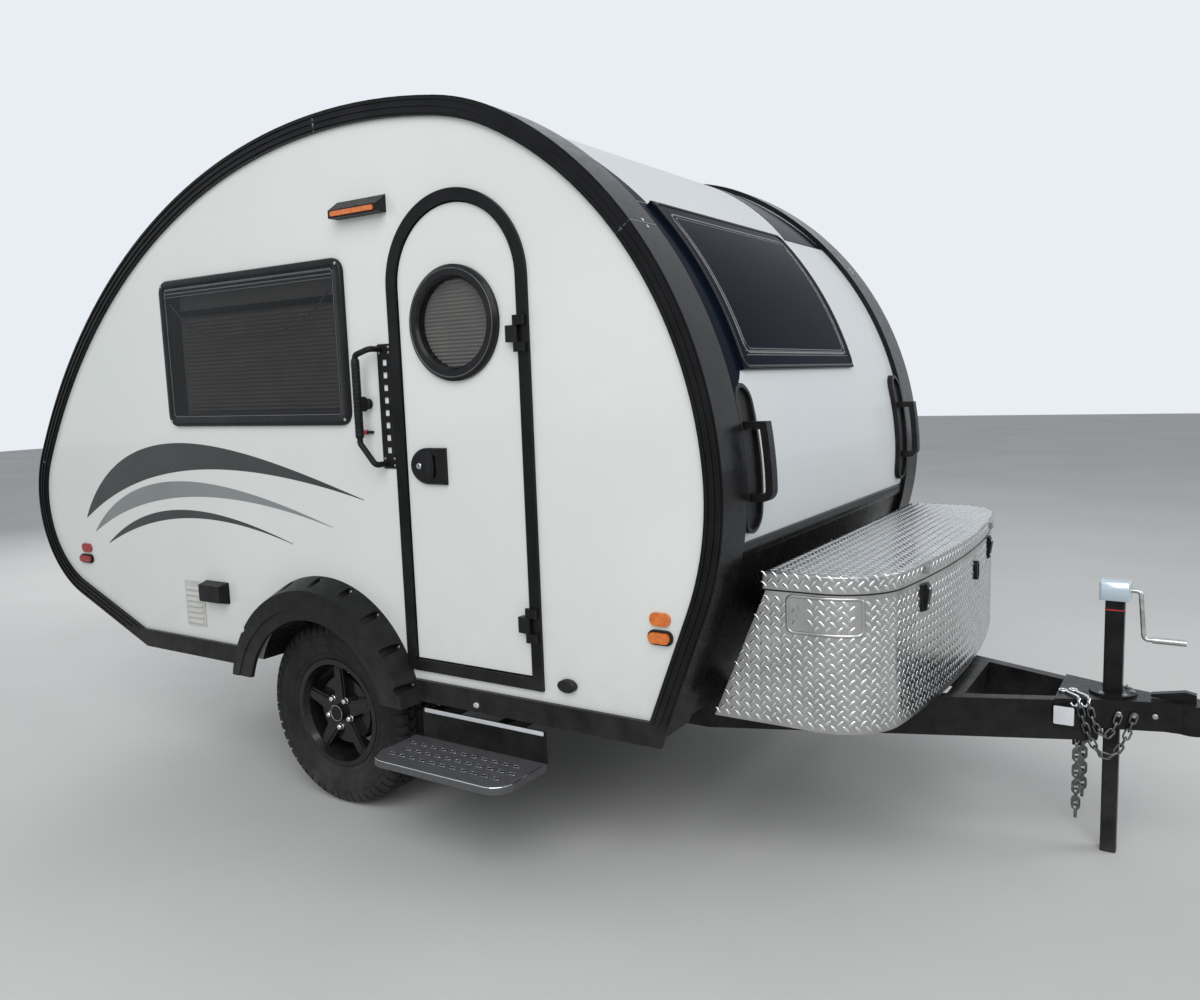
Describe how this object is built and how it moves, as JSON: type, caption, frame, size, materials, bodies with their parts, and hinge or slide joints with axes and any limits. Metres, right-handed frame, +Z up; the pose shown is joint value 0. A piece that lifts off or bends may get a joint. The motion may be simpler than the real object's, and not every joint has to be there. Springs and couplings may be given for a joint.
{
  "type": "teardrop trailer",
  "caption": "Teardrop travel trailer with arched side door, round door window, tongue storage tub, off-road wheels with flares, roof vent, tail door and tongue jack.",
  "frame": {"origin": "on the ground under the jack's foot, on the centreline", "axes": "+X towards the hitch, +Y to the left, +Z up"},
  "size_m": [4.6456, 2.26, 2.5259],
  "materials": {
    "white_panel": "gloss",
    "black_trim": "satin",
    "black_gloss": "gloss",
    "smoked_pane": "gloss",
    "blind_fabric": "matt",
    "frame_steel": "satin",
    "bright_plate": "bright",
    "alloy": "satin",
    "tyre_rubber": "matt",
    "seal_rubber": "matt",
    "floor_board": "matt",
    "zinc_steel": "satin",
    "amber_lens": "gloss",
    "red_lens": "gloss",
    "pale_plastic": "satin"
  },
  "bodies": {
    "chassis": {"axle_beam": "frame_steel", "coupler": "frame_steel", "coupler_latch": "frame_steel", "door_frame": "black_trim", "edge_trim_left": "black_trim", "edge_trim_right": "black_trim", "flare_left": "black_trim", "flare_right": "black_trim", "floor_panel": "floor_board", "frame_crossmembers": "frame_steel", "frame_rail_left": "frame_steel", "frame_rail_right": "frame_steel", "front_apron": "black_trim", "front_handles": "black_trim", "front_panel": "white_panel", "front_window": "smoked_pane", "grab_handle": "black_trim", "grab_plate": "bright_plate", "jack_crank": "zinc_steel", "jack_tube": "frame_steel", "lamp_housings": "black_trim", "lenses_amber": "amber_lens", "lenses_red": "red_lens", "louvre_vent": "pale_plastic", "power_inlet": "black_trim", "rear_panel": "white_panel", "rear_window": "smoked_pane", "roof_panel": "white_panel", "roof_vent_base": "pale_plastic", "safety_chains": "zinc_steel", "side_wall_left": "white_panel", "side_wall_right": "white_panel", "stabiliser_brackets": "frame_steel", "step_bracket": "frame_steel", "step_tread": "bright_plate", "swing_arms": "frame_steel", "tub_body": "bright_plate", "tub_latches": "black_trim", "tub_seal": "seal_rubber", "vent_hood": "black_trim", "wheel_wells": "black_trim", "window_blinds": "blind_fabric", "window_left": "smoked_pane", "window_right": "smoked_pane"},
    "wheel_left": {"tyre_left": "tyre_rubber", "rim_left": "alloy"},
    "wheel_right": {"tyre_right": "tyre_rubber", "rim_right": "alloy"},
    "door": {"door_leaf": "white_panel", "porthole_ring": "black_gloss", "porthole_glass": "smoked_pane", "door_latch": "black_gloss"},
    "storage_lid": {"tub_lid": "bright_plate"},
    "tail_door": {"rear_hatch": "white_panel"},
    "vent_lid": {"roof_vent_lid": "black_gloss"},
    "jack_post": {"jack_leg": "frame_steel"},
    "leg_front_left": {"stabiliser_front_left": "zinc_steel"},
    "leg_front_right": {"stabiliser_front_right": "zinc_steel"},
    "leg_rear_left": {"stabiliser_rear_left": "zinc_steel"},
    "leg_rear_right": {"stabiliser_rear_right": "zinc_steel"}
  },
  "joints": [
    {"name": "wheel_left_spin", "type": "hinge", "parent": "chassis", "child": "wheel_left", "pos_m": [-2.491, 0.854, 0.35], "axis": [0, 1, 0], "continuous": true},
    {"name": "wheel_right_spin", "type": "hinge", "parent": "chassis", "child": "wheel_right", "pos_m": [-2.491, -0.854, 0.35], "axis": [0, 1, 0], "continuous": true},
    {"name": "door_swing", "type": "hinge", "parent": "chassis", "child": "door", "pos_m": [-1.54, -0.992, 1.25], "axis": [0, 0, 1], "range_deg": [0, 165]},
    {"name": "storage_lid_lift", "type": "hinge", "parent": "chassis", "child": "storage_lid", "pos_m": [-0.8445, 0, 0.941], "axis": [0, -1, 0], "range_deg": [0, 60]},
    {"name": "tail_door_lift", "type": "hinge", "parent": "chassis", "child": "tail_door", "pos_m": [-4.3422, 0, 1.2138], "axis": [0, 1, 0], "range_deg": [0, 80]},
    {"name": "vent_lid_lift", "type": "hinge", "parent": "chassis", "child": "vent_lid", "pos_m": [-2.07155, 0, 2.49193], "axis": [0, 1, 0], "range_deg": [0, 50]},
    {"name": "jack_post_slide", "type": "slide", "parent": "chassis", "child": "jack_post", "axis": [0, 0, 1], "range_m": [0, 0.3]},
    {"name": "leg_front_left_drop", "type": "hinge", "parent": "chassis", "child": "leg_front_left", "pos_m": [-1.24, 0.59, 0.44], "axis": [0, -1, 0], "range_deg": [0, 80]},
    {"name": "leg_front_right_drop", "type": "hinge", "parent": "chassis", "child": "leg_front_right", "pos_m": [-1.24, -0.59, 0.44], "axis": [0, -1, 0], "range_deg": [0, 80]},
    {"name": "leg_rear_left_drop", "type": "hinge", "parent": "chassis", "child": "leg_rear_left", "pos_m": [-3.56036, 0.59, 0.44], "axis": [0, 1, 0], "range_deg": [0, 80]},
    {"name": "leg_rear_right_drop", "type": "hinge", "parent": "chassis", "child": "leg_rear_right", "pos_m": [-3.56036, -0.59, 0.44], "axis": [0, 1, 0], "range_deg": [0, 80]}
  ]
}
